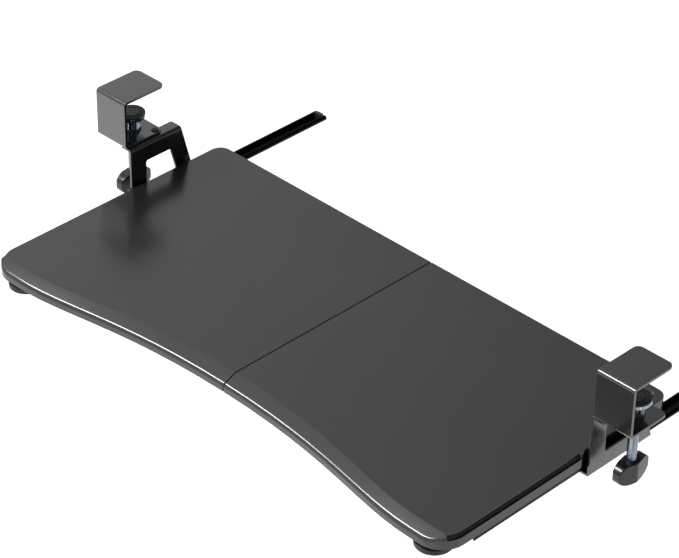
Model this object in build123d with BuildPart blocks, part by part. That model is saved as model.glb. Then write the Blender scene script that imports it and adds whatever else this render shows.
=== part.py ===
# Sliding tray in two halves, hung from two screw clamps by ball slides.
# X runs to the right, Y to the back and Z up, in millimetres.
# The origin lies midway between the clamps, at the top front of the gap that they grip.
from build123d import *
import os

os.makedirs("parts", exist_ok=True)

# Thickness between the jaws at rest
desk_grip = 27.0

# Clamp straps, bent from strip steel
strap_sheet = 3.0
strap_width = 42.0
strap_height = 53.5
top_plate_depth = 54.0
jaw_depth = 50.0
strap_bend = 4.0
strap_corner = 6.5
desk_pad_thickness = 1.0
desk_pad_margin = 2.5

# Side brackets, each with a window and two flanges
bracket_sheet = 2.5
bracket_inset = 2.0
bracket_setback = 2.5
board_gap = 1.5
bracket_height = 67.0
bracket_length = 85.3
bracket_rake = 18.1
bracket_arm = 20.0
bracket_sill = 18.5
window_round = 2.5
jaw_flange = 15.0
runner_flange = 13.5
bracket_bend = 1.0
flange_round = 2.0

# Rivets that hold the brackets to the clamps
bracket_rivet_offset = 4.8
bracket_rivet_setback = 11.0
bracket_rivet_pitch = 32.0
bracket_rivet_radius = 2.4
bracket_rivet_head_radius = 4.0
bracket_rivet_head = 1.2

# Clamp screws and nuts
screw_offset = 23.0
screw_setback = 28.5
screw_radius = 4.75
screw_chamfer = 0.7
rod_below_jaw = 49.5
nut_radius = 9.5
nut_shank_radius = 7.0
nut_height = 3.0
thread_clearance = 0.1

# Pressure pads on the tips of the screws
cup_radius = 14.0
cup_thickness = 4.0
cup_edge = 1.0
pad_rubber_thickness = 1.5
tip_radius = 3.0
tip_depth = 2.5
tip_clearance = 0.3

# Wing knobs, thickest at the screw
wing_span = 40.0
wing_height = 22.5
wing_tip_thickness = 8.4
wing_lobe_round = 3.5
wing_ridge_round = 6.0
wing_edge = 1.2
hub_thickness = 17.0
hub_drop = 4.0
screw_seat = 16.0
wing_outline_shares = (
    (0.0, 0.80),
    (0.30, 0.80),
    (0.58, 1.0),
    (0.86, 1.0),
    (1.0, 0.78),
    (1.0, 0.38),
    (0.66, 0.0),
    (0.0, 0.0),
)

# Board, moulded in two halves
board_width = 599.0
board_depth = 300.0
board_thickness = 14.0
tray_reach = 184.0
front_corner = 26.5
back_corner = 12.0
seam_gap = 0.3

# Wave of the front edge and the sloped palm rest behind it
wave_depth = 27.4
wave_shoulder = 14.5
wave_middle_share = 0.537
wave_end_share = 0.247
palm_slope_middle = 15.0
palm_slope_end = 12.3
palm_drop = 6.0
palm_round = 1.4

# Raised rim and groove along the sides of the board
rim_inset = 3.5
rim_sweep = 37.0
rim_edge = 0.6
rim_end_gap = 3.5
rim_end_wall = 2.0
rim_end_round = 1.5
ledge_drop = 2.5
groove_width = 2.0
groove_depth = 6.0

# Ribs under the board
board_skin = 3.2
rib_width = 2.4
rib_columns = 6
rib_rows = 5
rib_border = 4.0
slide_strip = 20.0
front_beam = 18.0

# Plates and screws that join the board halves
plate_length = 74.0
plate_width = 30.0
plate_sheet = 2.0
plate_round = 4.0
plate_setback = 42.0
plate_pitch = 190.0
plate_screw_span = 52.0
plate_screw_gap = 16.0

# Small fixings, drawn with flats because they repeat
shank_sides = 8
head_sides = 16

# Wood screws
wood_screw_radius = 1.6
wood_screw_head_radius = 3.0
wood_screw_head = 1.5
wood_screw_bite = 7.0
slide_screw_head_radius = 2.6

# Corner feet
foot_radius = 18.0
foot_thickness = 8.5
foot_neck = 4.0
foot_neck_radius = 12.0
foot_inset = 29.5
foot_setback = 21.0
foot_edge = 1.5
foot_recess = 3.0
foot_recess_radius = 5.0
foot_boss_radius = 14.0

# Ball slides
slide_length = 250.0
slide_setback = 5.0
slide_height = 10.0
slide_sheet = 1.0
slide_gap = 0.4
tray_travel = 140.0
race_spacing = 12.0
ball_radius = 1.75
ball_clearance = 0.25
runner_width = 10.2
runner_channel = 6.0
runner_lift = 1.0
cage_sheet = 0.4
cage_lift = 0.25
cage_leg = 0.4
cage_leg_gap = 0.25
cage_height = 4.2
cage_length = 90.0
cage_setback = 3.0
cage_hole_gap = 0.1
balls_per_row = 5
ball_spacing = 18.0
ball_sides = 6

# Fixings and end stops of the slides
slide_rivet_offset = 2.9
slide_rivet_radius = 1.6
slide_rivet_head_radius = 2.6
slide_rivet_head = 0.6
slide_rivet_setback = 10.0
slide_rivet_pitch = 55.0
slide_screw_margin = 25.0
slide_screw_count = 3
stop_width = 8.4
stop_height = 5.5
stop_gap = 0.3

# Places of the clamps, which follow the width of the board
board_half = board_width / 2
web_inner_x = board_half + board_gap
web_outer_x = web_inner_x + bracket_sheet
strap_inner_x = web_outer_x + bracket_inset
strap_front = -strap_sheet
strap_top = desk_pad_thickness + strap_sheet
strap_bottom = strap_top - strap_height
jaw_top = strap_bottom + strap_sheet
top_plate_back = strap_front + top_plate_depth
jaw_back = strap_front + jaw_depth
screw_x = strap_inner_x + screw_offset
screw_y = strap_front + screw_setback
rubber_bottom = -desk_grip - pad_rubber_thickness
cup_bottom = rubber_bottom - cup_thickness
shoulder_z = cup_bottom - tip_clearance
hub_top = strap_bottom - rod_below_jaw
wing_top = hub_top + hub_drop
wing_bottom = wing_top - wing_height

# Places of the brackets
jaw_flange_x = web_inner_x + jaw_flange
runner_flange_x = web_outer_x - runner_flange
bracket_front = strap_front + bracket_setback
bracket_back = bracket_front + bracket_length
bracket_bottom = strap_bottom - bracket_height
runner_top = bracket_bottom + bracket_sheet
bracket_rivet_x = strap_inner_x + bracket_rivet_offset
bracket_rivet_y = strap_front + bracket_rivet_setback

# Places of the board
board_bottom = runner_top + slide_height
board_top = board_bottom + board_thickness
board_front = -tray_reach
board_back = board_front + board_depth
board_middle_front = board_front + wave_depth
corner_x = board_half - front_corner
corner_y = board_front + front_corner
wave_end_x = corner_x - wave_shoulder
rim_radius = front_corner - rim_inset
rim_x = board_half - rim_inset
rim_end = bracket_front - rim_end_gap
foot_x = board_half - foot_inset
foot_y = board_front + foot_setback
foot_bottom = board_bottom - foot_neck - foot_thickness
plate_y = board_middle_front + plate_setback

# Places of the slides
race_radius = ball_radius + ball_clearance
race_half = race_spacing / 2
race_back_radius = race_radius + slide_sheet
slide_x = web_inner_x - slide_gap - race_back_radius - race_half
slide_front = bracket_front + slide_setback
slide_back = slide_front + slide_length
race_z = runner_top + race_back_radius
slide_floor = runner_top + slide_sheet
slide_top = board_bottom
stop_length = slide_setback
runner_back = slide_back - stop_length - stop_gap - tray_travel
runner_front = runner_back - slide_length
cage_front = slide_front + cage_setback
slide_screw_y = runner_front + slide_screw_margin
slide_screw_pitch = (slide_length - 2 * slide_screw_margin) / (slide_screw_count - 1)
slide_screw_places = [
    (slide_x, slide_screw_y + number * slide_screw_pitch) for number in range(slide_screw_count)
]
plate_screw_places = [
    (plate_screw_span / 2, plate_y + row * plate_pitch + side * plate_screw_gap / 2)
    for row in (0, 1)
    for side in (-1, 1)
]


def keep(piece, name):
    """Label a finished piece and write it to its own file."""
    piece.label = name
    export_step(piece, f"parts/{name}.step")


def keep_pair(piece, name):
    """Write a right-hand piece and its mirror image."""
    with BuildPart() as twin:
        mirror(piece, about=Plane.YZ)
    keep(piece, "right_" + name)
    keep(twin.part, "left_" + name)


def bracket_edge(height):
    """Depth of the raked rear edge of a bracket at a height."""
    return bracket_back - bracket_rake * (height - bracket_bottom) / bracket_height


def fixing(x, y, tip, seat, shank, head_radius, head):
    """Round fixing whose head hangs below its seat."""
    with BuildPart() as pin:
        with BuildSketch(Plane.XY.offset(seat)):
            with Locations((x, y)):
                RegularPolygon(radius=shank, side_count=shank_sides)
        extrude(amount=tip - seat)
        with BuildSketch(Plane.XY.offset(seat - head)):
            with Locations((x, y)):
                RegularPolygon(radius=head_radius, side_count=head_sides)
        extrude(amount=head)
    return pin.part


def wave_points(slope_share):
    """Control points of half the front wave, moved back by a share of the palm slope."""
    middle = board_middle_front + palm_slope_middle * slope_share
    end = board_front + palm_slope_end * slope_share
    return (
        (seam_gap / 2, middle),
        (wave_end_x * wave_middle_share, middle),
        (wave_end_x * (1 - wave_end_share), end),
        (wave_end_x, end),
    )


def palm_plan(height, slope_share):
    """Plan of everything in front of the palm slope at a height."""
    with BuildSketch(Plane.XY.offset(height)) as plan:
        with BuildLine():
            wave = Bezier(*wave_points(slope_share))
            Polyline(
                wave @ 1,
                (board_half + front_corner, board_front + palm_slope_end * slope_share),
                (board_half + front_corner, board_front - front_corner),
                (-front_corner, board_front - front_corner),
                (-front_corner, board_middle_front + palm_slope_middle * slope_share),
                wave @ 0,
            )
        make_face()
    return plan.sketch


def rim_band(near, far, height):
    """Plan of a band round the front corner and back to the wall at the rim's end."""
    with BuildSketch(Plane.XY.offset(height)) as band:
        with BuildLine():
            near_arc = CenterArc((corner_x, corner_y), near, 0, -rim_sweep)
            far_arc = CenterArc((corner_x, corner_y), far, 0, -rim_sweep)
            Line(near_arc @ 1, far_arc @ 1)
            Polyline(
                near_arc @ 0,
                (corner_x + near, rim_end - rim_end_wall),
                (corner_x + far, rim_end - rim_end_wall),
                far_arc @ 0,
            )
        make_face()
    return band.sketch


# Clamp strap: top plate, front wall and jaw in one bent strip
with BuildPart() as clamp_strap:
    with BuildSketch(Plane.YZ.offset(strap_inner_x)) as strap_side:
        with BuildLine():
            Polyline(
                (top_plate_back, strap_top),
                (strap_front, strap_top),
                (strap_front, strap_bottom),
                (jaw_back, strap_bottom),
                (jaw_back, jaw_top),
                (0, jaw_top),
                (0, desk_pad_thickness),
                (top_plate_back, desk_pad_thickness),
                close=True,
            )
        make_face()
        fillet(strap_side.vertices().group_by(Axis.X)[1], radius=strap_bend - strap_sheet)
        fillet(strap_side.vertices().group_by(Axis.X)[0], radius=strap_bend)
    extrude(amount=strap_width)
    fillet(clamp_strap.edges().filter_by(Axis.Z).sort_by(Axis.Y)[-4:], radius=strap_corner)
    with BuildSketch(Plane.XY.offset(strap_bottom)):
        with Locations((screw_x, screw_y)):
            Circle(nut_shank_radius)
        with Locations(
            (bracket_rivet_x, bracket_rivet_y),
            (bracket_rivet_x, bracket_rivet_y + bracket_rivet_pitch),
        ):
            RegularPolygon(radius=bracket_rivet_radius, side_count=shank_sides)
    extrude(amount=strap_sheet, mode=Mode.SUBTRACT)
keep_pair(clamp_strap.part, "clamp_strap")

# Soft pad glued under the top plate of the strap
with BuildPart() as desk_pad:
    with BuildSketch():
        with Locations((strap_inner_x + strap_width / 2, top_plate_back / 2)):
            RectangleRounded(
                strap_width - 2 * desk_pad_margin,
                top_plate_back - 2 * desk_pad_margin,
                strap_corner - desk_pad_margin,
            )
    extrude(amount=desk_pad_thickness)
keep_pair(desk_pad.part, "desk_pad")

# Side bracket: flange under the jaw, web, and flange that carries the slide
with BuildPart() as side_bracket:
    with BuildSketch(Plane.XZ.offset(-bracket_front)) as bracket_section:
        with BuildLine():
            Polyline(
                (web_inner_x, strap_bottom),
                (jaw_flange_x, strap_bottom),
                (jaw_flange_x, strap_bottom - bracket_sheet),
                (web_outer_x, strap_bottom - bracket_sheet),
                (web_outer_x, bracket_bottom),
                (runner_flange_x, bracket_bottom),
                (runner_flange_x, runner_top),
                (web_inner_x, runner_top),
                close=True,
            )
        make_face()
        for corner in ((web_outer_x, strap_bottom - bracket_sheet), (web_inner_x, runner_top)):
            fillet(bracket_section.vertices().sort_by_distance(corner)[0], radius=bracket_bend)
        for corner in ((web_inner_x, strap_bottom), (web_outer_x, bracket_bottom)):
            fillet(
                bracket_section.vertices().sort_by_distance(corner)[0],
                radius=bracket_bend + bracket_sheet,
            )
    extrude(amount=-bracket_length)
    with BuildSketch(Plane.YZ.offset(runner_flange_x)):
        with BuildLine():
            Polyline(
                (bracket_front, bracket_bottom),
                (bracket_back, bracket_bottom),
                (bracket_edge(strap_bottom), strap_bottom),
                (bracket_front, strap_bottom),
                close=True,
            )
        make_face()
    extrude(amount=jaw_flange_x - runner_flange_x, mode=Mode.INTERSECT)
    for flange_end in (0, -1):
        fillet(
            side_bracket.edges().group_by(Axis.X)[flange_end].filter_by(Axis.Y, reverse=True),
            radius=flange_round,
        )
    with BuildSketch(Plane.YZ.offset(web_inner_x)) as window:
        with BuildLine():
            window_bottom = bracket_bottom + bracket_sill
            window_top = strap_bottom - bracket_arm
            Polyline(
                (bracket_front + bracket_arm, window_bottom),
                (bracket_edge(window_bottom) - bracket_arm, window_bottom),
                (bracket_edge(window_top) - bracket_arm, window_top),
                (bracket_front + bracket_arm, window_top),
                close=True,
            )
        make_face()
        fillet(window.vertices(), radius=window_round)
    extrude(amount=bracket_sheet, mode=Mode.SUBTRACT)
    with BuildSketch(Plane.XY.offset(strap_bottom - bracket_sheet)):
        with Locations(
            (bracket_rivet_x, bracket_rivet_y),
            (bracket_rivet_x, bracket_rivet_y + bracket_rivet_pitch),
        ):
            RegularPolygon(radius=bracket_rivet_radius, side_count=shank_sides)
    extrude(amount=bracket_sheet, mode=Mode.SUBTRACT)
    with BuildSketch(Plane.XY.offset(bracket_bottom)):
        with Locations(
            (slide_x + slide_rivet_offset, slide_front + slide_rivet_setback),
            (slide_x + slide_rivet_offset, slide_front + slide_rivet_setback + slide_rivet_pitch),
        ):
            RegularPolygon(radius=slide_rivet_radius, side_count=shank_sides)
    extrude(amount=bracket_sheet, mode=Mode.SUBTRACT)
keep_pair(side_bracket.part, "side_bracket")

# Rivets through the jaw and the bracket flange, headed on both sides
with BuildPart() as bracket_rivets:
    with BuildSketch(Plane.XY.offset(strap_bottom - bracket_sheet)):
        with Locations((bracket_rivet_x, bracket_rivet_y)):
            RegularPolygon(radius=bracket_rivet_radius, side_count=shank_sides)
    extrude(amount=strap_sheet + bracket_sheet)
    with BuildSketch(Plane.XY.offset(jaw_top)):
        with Locations((bracket_rivet_x, bracket_rivet_y)):
            RegularPolygon(radius=bracket_rivet_head_radius, side_count=head_sides)
    extrude(amount=bracket_rivet_head)
    with BuildSketch(Plane.XY.offset(strap_bottom - bracket_sheet)):
        with Locations((bracket_rivet_x, bracket_rivet_y)):
            RegularPolygon(radius=bracket_rivet_head_radius, side_count=head_sides)
    extrude(amount=-bracket_rivet_head)
    with Locations((0, bracket_rivet_pitch)):
        add(bracket_rivets.part)
keep_pair(bracket_rivets.part, "bracket_rivets")

# Clinch nut pressed into the jaw
with BuildPart() as clamp_nut:
    with BuildSketch(Plane.XY.offset(jaw_top)):
        with Locations((screw_x, screw_y)):
            RegularPolygon(radius=nut_radius, side_count=6)
    extrude(amount=nut_height)
    with BuildSketch(Plane.XY.offset(strap_bottom)):
        with Locations((screw_x, screw_y)):
            Circle(nut_shank_radius)
    extrude(amount=strap_sheet)
    with BuildSketch(Plane.XY.offset(strap_bottom)):
        with Locations((screw_x, screw_y)):
            Circle(screw_radius + thread_clearance)
    extrude(amount=strap_sheet + nut_height, mode=Mode.SUBTRACT)
keep_pair(clamp_nut.part, "clamp_nut")

# Clamp screw with a reduced tip
screw_plane = Plane(origin=(screw_x, screw_y, 0), x_dir=(1, 0, 0), z_dir=(0, -1, 0))
screw_axis = Axis((screw_x, screw_y, 0), (0, 0, 1))
with BuildPart() as clamp_screw:
    with BuildSketch(screw_plane):
        with BuildLine():
            Polyline(
                (0, hub_top - screw_seat),
                (screw_radius, hub_top - screw_seat),
                (screw_radius, shoulder_z - screw_chamfer),
                (screw_radius - screw_chamfer, shoulder_z),
                (tip_radius, shoulder_z),
                (tip_radius, shoulder_z + tip_depth),
                (0, shoulder_z + tip_depth),
                close=True,
            )
        make_face()
    revolve(axis=screw_axis)
keep_pair(clamp_screw.part, "clamp_screw")

# Wing knob moulded round the lower end of the screw, tapered from the hub to both tips
with BuildPart() as wing_knob:
    with BuildSketch(Plane.YZ.offset(screw_x)) as wing_front:
        with BuildLine():
            Polyline(
                *[
                    (screw_y + reach * wing_span / 2, wing_bottom + level * wing_height)
                    for reach, level in wing_outline_shares
                ],
                close=True,
            )
        make_face()
        fillet(wing_front.vertices().group_by(Axis.X)[1:], radius=wing_lobe_round)
        mirror(about=Plane.YZ.offset(screw_y))
    extrude(amount=hub_thickness / 2, both=True)
    with BuildSketch(Plane.XY.offset(wing_bottom)) as wing_plan:
        with BuildLine():
            Polyline(
                (screw_x, screw_y - wing_span / 2),
                (screw_x + wing_tip_thickness / 2, screw_y - wing_span / 2),
                (screw_x + hub_thickness / 2, screw_y),
                (screw_x + wing_tip_thickness / 2, screw_y + wing_span / 2),
                (screw_x, screw_y + wing_span / 2),
                close=True,
            )
        make_face()
        fillet(wing_plan.vertices().group_by(Axis.X)[-1], radius=wing_ridge_round)
        mirror(about=Plane.YZ.offset(screw_x))
    extrude(amount=wing_height, mode=Mode.INTERSECT)
    wing_rims = wing_knob.edges().filter_by(Axis.X, reverse=True).filter_by(Axis.Z, reverse=True)
    chamfer(wing_rims, length=wing_edge)
    with BuildSketch(Plane.XY.offset(hub_top - screw_seat)):
        with Locations((screw_x, screw_y)):
            Circle(screw_radius)
    extrude(amount=wing_height, mode=Mode.SUBTRACT)
keep_pair(wing_knob.part, "wing_knob")

# Pressure pad: steel cup that the tip of the screw turns in
with BuildPart() as pressure_pad:
    with BuildSketch(screw_plane) as cup_section:
        with BuildLine():
            Polyline(
                (0, rubber_bottom),
                (cup_radius, rubber_bottom),
                (cup_radius, cup_bottom),
                (tip_radius + tip_clearance, cup_bottom),
                (tip_radius + tip_clearance, cup_bottom + tip_depth),
                (0, cup_bottom + tip_depth),
                close=True,
            )
        make_face()
        chamfer(cup_section.vertices().sort_by_distance((cup_radius, cup_bottom))[0], length=cup_edge)
    revolve(axis=screw_axis)
keep_pair(pressure_pad.part, "pressure_pad")

# Rubber face of the pressure pad
with BuildPart() as pad_rubber:
    with BuildSketch(Plane.XY.offset(rubber_bottom)):
        with Locations((screw_x, screw_y)):
            Circle(cup_radius)
    extrude(amount=pad_rubber_thickness)
    chamfer(pad_rubber.edges().group_by(Axis.Z)[-1], length=pad_rubber_thickness / 3)
keep_pair(pad_rubber.part, "pad_rubber")

# Board half: waved front, palm slope, raised rim, groove and a ribbed underside
with BuildPart() as board:
    with BuildSketch(Plane.XY.offset(board_bottom)) as board_plan:
        with BuildLine():
            front_wave = Bezier(*wave_points(0))
            Line(front_wave @ 1, (corner_x, board_front))
            CenterArc((corner_x, corner_y), front_corner, -90, 90)
            Polyline(
                (board_half, corner_y),
                (board_half, rim_end),
                (rim_x, rim_end),
                (rim_x, board_back - back_corner),
            )
            CenterArc((rim_x - back_corner, board_back - back_corner), back_corner, 0, 90)
            Polyline(
                (rim_x - back_corner, board_back),
                (seam_gap / 2, board_back),
                front_wave @ 0,
            )
        make_face()
        fillet(
            board_plan.vertices().sort_by_distance((board_half, rim_end, board_bottom))[0],
            radius=rim_end_round,
        )
    extrude(amount=board_thickness)
    loft(
        [
            palm_plan(board_top - 2 * palm_drop, -1),
            palm_plan(board_top + palm_drop, 2),
        ],
        ruled=True,
        mode=Mode.SUBTRACT,
    )
    front_edges = board.edges().filter_by(Axis.Z, reverse=True).filter_by(
        lambda edge: edge.center().Y < corner_y and -palm_drop <= edge.center().Z - board_top < 0
    )
    fillet(front_edges, radius=palm_round)
    extrude(
        rim_band(rim_radius, 2 * front_corner, board_top),
        amount=-ledge_drop,
        mode=Mode.SUBTRACT,
    )
    extrude(
        rim_band(rim_radius, rim_radius + groove_width, board_top),
        amount=-groove_depth,
        mode=Mode.SUBTRACT,
    )
    rim_middle = (rim_x, corner_y / 2, board_top)
    chamfer(board.edges().sort_by_distance(rim_middle)[0], length=rim_edge)
    with BuildSketch(Plane.XY.offset(board_bottom)) as pockets:
        pocket_right = slide_x - slide_strip / 2
        pocket_field_x = pocket_right - rib_border
        pocket_field_y = board_depth - rib_border - front_beam
        column_pitch = (pocket_field_x + rib_width) / rib_columns
        row_pitch = (pocket_field_y + rib_width) / rib_rows
        with Locations(
            (rib_border + pocket_field_x / 2, board_front + front_beam + pocket_field_y / 2)
        ):
            with GridLocations(column_pitch, row_pitch, rib_columns, rib_rows):
                Rectangle(column_pitch - rib_width, row_pitch - rib_width)
        with BuildLine():
            beam_wave = Bezier(
                *[(x, y + front_beam) for x, y in wave_points(1)]
            )
            Polyline(
                beam_wave @ 1,
                (board_half, (beam_wave @ 1).Y),
                (board_half, board_back),
                (seam_gap / 2, board_back),
                beam_wave @ 0,
            )
        make_face(mode=Mode.INTERSECT)
        with Locations((foot_x, foot_y)):
            Circle(foot_boss_radius, mode=Mode.SUBTRACT)
        with Locations((0, plate_y), (0, plate_y + plate_pitch)):
            Rectangle(plate_length, plate_width, mode=Mode.SUBTRACT)
    extrude(amount=board_thickness - board_skin, mode=Mode.SUBTRACT)
    with BuildSketch(Plane.XY.offset(board_bottom)):
        with Locations((foot_x, foot_y)):
            RegularPolygon(radius=wood_screw_radius, side_count=shank_sides)
        with Locations(*slide_screw_places):
            RegularPolygon(radius=wood_screw_radius, side_count=shank_sides)
        with Locations(*plate_screw_places):
            RegularPolygon(radius=wood_screw_radius, side_count=shank_sides)
    extrude(amount=wood_screw_bite, mode=Mode.SUBTRACT)
keep_pair(board.part, "board")

# Plates that join the two halves of the board from below
with BuildPart() as front_joining_plate:
    with BuildSketch(Plane.XY.offset(board_bottom)):
        with Locations((0, plate_y)):
            RectangleRounded(plate_length, plate_width, plate_round)
            with GridLocations(plate_screw_span, plate_screw_gap, 2, 2):
                RegularPolygon(
                    radius=wood_screw_radius,
                    side_count=shank_sides,
                    mode=Mode.SUBTRACT,
                )
    extrude(amount=-plate_sheet)
with BuildPart() as rear_joining_plate:
    with Locations((0, plate_pitch)):
        add(front_joining_plate.part)
keep(front_joining_plate.part, "front_joining_plate")
keep(rear_joining_plate.part, "rear_joining_plate")

# Screws of the joining plates
with BuildPart() as joining_screws:
    plate_screw = fixing(
        0,
        0,
        board_bottom + wood_screw_bite,
        board_bottom - plate_sheet,
        wood_screw_radius,
        wood_screw_head_radius,
        wood_screw_head,
    )
    with Locations(*plate_screw_places, *[(-x, y) for x, y in plate_screw_places]):
        add(plate_screw)
keep(joining_screws.part, "joining_screws")

# Round foot under the front corner, with its screw sunk in a recess
with BuildPart() as corner_foot:
    with BuildSketch(Plane.XY.offset(foot_bottom)):
        with Locations((foot_x, foot_y)):
            Circle(foot_radius)
    extrude(amount=foot_thickness)
    chamfer(corner_foot.edges().filter_by(GeomType.CIRCLE), length=foot_edge)
    with BuildSketch(Plane.XY.offset(foot_bottom + foot_thickness)):
        with Locations((foot_x, foot_y)):
            Circle(foot_neck_radius)
    extrude(amount=foot_neck)
    with BuildSketch(Plane.XY.offset(foot_bottom)):
        with Locations((foot_x, foot_y)):
            RegularPolygon(radius=foot_recess_radius, side_count=head_sides)
    extrude(amount=foot_recess, mode=Mode.SUBTRACT)
    with BuildSketch(Plane.XY.offset(foot_bottom)):
        with Locations((foot_x, foot_y)):
            RegularPolygon(radius=wood_screw_radius, side_count=shank_sides)
    extrude(amount=foot_thickness + foot_neck, mode=Mode.SUBTRACT)
keep_pair(corner_foot.part, "corner_foot")
foot_screw = fixing(
    foot_x,
    foot_y,
    board_bottom + wood_screw_bite,
    foot_bottom + foot_recess,
    wood_screw_radius,
    wood_screw_head_radius,
    wood_screw_head,
)
keep_pair(foot_screw, "foot_screw")

# Outer rail of the slide, curled into a raceway along both edges
with BuildPart() as slide_outer:
    with BuildSketch(Plane.XZ.offset(-slide_front)):
        with BuildLine():
            outer_curl = CenterArc((slide_x + race_half, race_z), race_back_radius, -90, 180)
            inner_curl = CenterArc((slide_x + race_half, race_z), race_radius, -90, 180)
            Line(outer_curl @ 1, inner_curl @ 1)
            Polyline(inner_curl @ 0, (slide_x, slide_floor), (slide_x, runner_top), outer_curl @ 0)
        make_face()
        mirror(about=Plane.YZ.offset(slide_x))
    extrude(amount=-slide_length)
    with BuildSketch(Plane.XY.offset(runner_top)):
        with Locations(
            (slide_x + slide_rivet_offset, slide_front + slide_rivet_setback),
            (slide_x + slide_rivet_offset, slide_front + slide_rivet_setback + slide_rivet_pitch),
        ):
            RegularPolygon(radius=slide_rivet_radius, side_count=shank_sides)
    extrude(amount=slide_sheet, mode=Mode.SUBTRACT)
keep_pair(slide_outer.part, "slide_outer")

# Rivets of the outer rail, flush on the rail side
with BuildPart() as slide_rivets:
    slide_rivet = fixing(
        slide_x + slide_rivet_offset,
        slide_front + slide_rivet_setback,
        slide_floor,
        bracket_bottom,
        slide_rivet_radius,
        slide_rivet_head_radius,
        slide_rivet_head,
    )
    with Locations((0, 0), (0, slide_rivet_pitch)):
        add(slide_rivet)
keep_pair(slide_rivets.part, "slide_rivets")

# Rubber stop at the rear end of the outer rail
with BuildPart() as slide_stop:
    with BuildSketch(Plane.XY.offset(slide_floor)):
        with Locations((slide_x, slide_back - stop_length / 2)):
            Rectangle(stop_width, stop_length)
    extrude(amount=stop_height)
keep_pair(slide_stop.part, "slide_stop")

# Inner rail of the slide, screwed under the board
with BuildPart() as slide_inner:
    with BuildSketch(Plane.XZ.offset(-runner_front)):
        with Locations((slide_x, (slide_top + slide_floor + runner_lift) / 2)):
            Rectangle(runner_width, slide_top - slide_floor - runner_lift)
        with Locations((slide_x, (slide_top - slide_sheet + slide_floor) / 2)):
            Rectangle(runner_channel, slide_top - slide_sheet - slide_floor, mode=Mode.SUBTRACT)
        with Locations((slide_x - race_half, race_z), (slide_x + race_half, race_z)):
            Circle(race_radius, mode=Mode.SUBTRACT)
    extrude(amount=-slide_length)
    with BuildSketch(Plane.XY.offset(slide_top)):
        with Locations(*slide_screw_places):
            RegularPolygon(radius=wood_screw_radius, side_count=shank_sides)
    extrude(amount=-slide_sheet, mode=Mode.SUBTRACT)
keep_pair(slide_inner.part, "slide_inner")

# Screws of the inner rail
with BuildPart() as slide_screws:
    slide_screw = fixing(
        0,
        0,
        board_bottom + wood_screw_bite,
        slide_top - slide_sheet,
        wood_screw_radius,
        slide_screw_head_radius,
        wood_screw_head,
    )
    with Locations(*slide_screw_places):
        add(slide_screw)
keep_pair(slide_screws.part, "slide_screws")

# Cage that spaces the balls between the rails
with BuildPart() as ball_cage:
    cage_half = runner_width / 2 + cage_leg_gap + cage_leg
    cage_base = slide_floor + cage_lift
    with BuildSketch(Plane.XZ.offset(-cage_front)):
        with Locations((slide_x, cage_base + cage_height / 2)):
            Rectangle(2 * cage_half, cage_height)
        with Locations((slide_x, cage_base + cage_sheet + cage_height / 2)):
            Rectangle(2 * (cage_half - cage_leg), cage_height, mode=Mode.SUBTRACT)
    extrude(amount=-cage_length)
    with BuildSketch(Plane.YZ.offset(slide_x - race_spacing)):
        with Locations((cage_front + cage_length / 2, race_z)):
            with GridLocations(ball_spacing, 0, balls_per_row, 1):
                Rectangle(2 * (ball_radius + cage_hole_gap), 2 * (ball_radius + cage_hole_gap))
    extrude(amount=2 * race_spacing, mode=Mode.SUBTRACT)
keep_pair(ball_cage.part, "ball_cage")

# Two rows of balls, each with flats in place of a full sphere
with BuildPart() as ball:
    for cut, plane in ((Mode.ADD, Plane.XY), (Mode.INTERSECT, Plane.YZ), (Mode.INTERSECT, Plane.XZ)):
        with BuildSketch(plane):
            RegularPolygon(radius=ball_radius, side_count=ball_sides)
        extrude(amount=ball_radius, both=True, mode=cut)
with BuildPart() as balls:
    with Locations((slide_x, cage_front + cage_length / 2, race_z)):
        with GridLocations(race_spacing, ball_spacing, 2, balls_per_row):
            add(ball.part)
keep_pair(balls.part, "balls")
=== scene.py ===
import math

import bpy
from mathutils import Matrix, Vector


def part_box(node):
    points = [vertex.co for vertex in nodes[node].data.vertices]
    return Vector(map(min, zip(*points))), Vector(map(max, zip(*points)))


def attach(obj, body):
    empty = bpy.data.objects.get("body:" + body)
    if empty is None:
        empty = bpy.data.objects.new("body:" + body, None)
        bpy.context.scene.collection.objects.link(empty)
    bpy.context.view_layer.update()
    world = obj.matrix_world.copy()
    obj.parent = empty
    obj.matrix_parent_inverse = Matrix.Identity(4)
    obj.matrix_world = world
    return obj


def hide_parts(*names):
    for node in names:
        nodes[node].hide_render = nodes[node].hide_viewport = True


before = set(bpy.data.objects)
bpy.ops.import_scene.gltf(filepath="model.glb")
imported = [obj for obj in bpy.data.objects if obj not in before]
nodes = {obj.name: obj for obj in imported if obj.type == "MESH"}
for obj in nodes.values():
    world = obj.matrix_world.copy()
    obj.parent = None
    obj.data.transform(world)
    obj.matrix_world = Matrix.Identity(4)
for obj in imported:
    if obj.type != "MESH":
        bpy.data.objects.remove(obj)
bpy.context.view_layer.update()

# A millimetre in the frame's metres, how near a place is looked for, how near two
# corners are merged, and the cosine past which a direction counts as along an axis
MM = 0.001
NEAR = 0.05 * MM
MERGE = 0.001 * MM
SQUARE = 0.99

# Sides of a turned piece and of a small one, and the steps in which an edge is rounded
TURNED_SIDES = 48
SMALL_SIDES = 24
EDGE_STEPS = 2
SMALL_STEPS = 3
ROUND_STEPS = 4
RIDGE_STEPS = 5
FOLD_STEPS = 6

# Degrees past which an edge is rounded, and past which the shading keeps it sharp
BEVEL_ANGLE = 35
SHARP_ANGLE = 38

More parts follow.
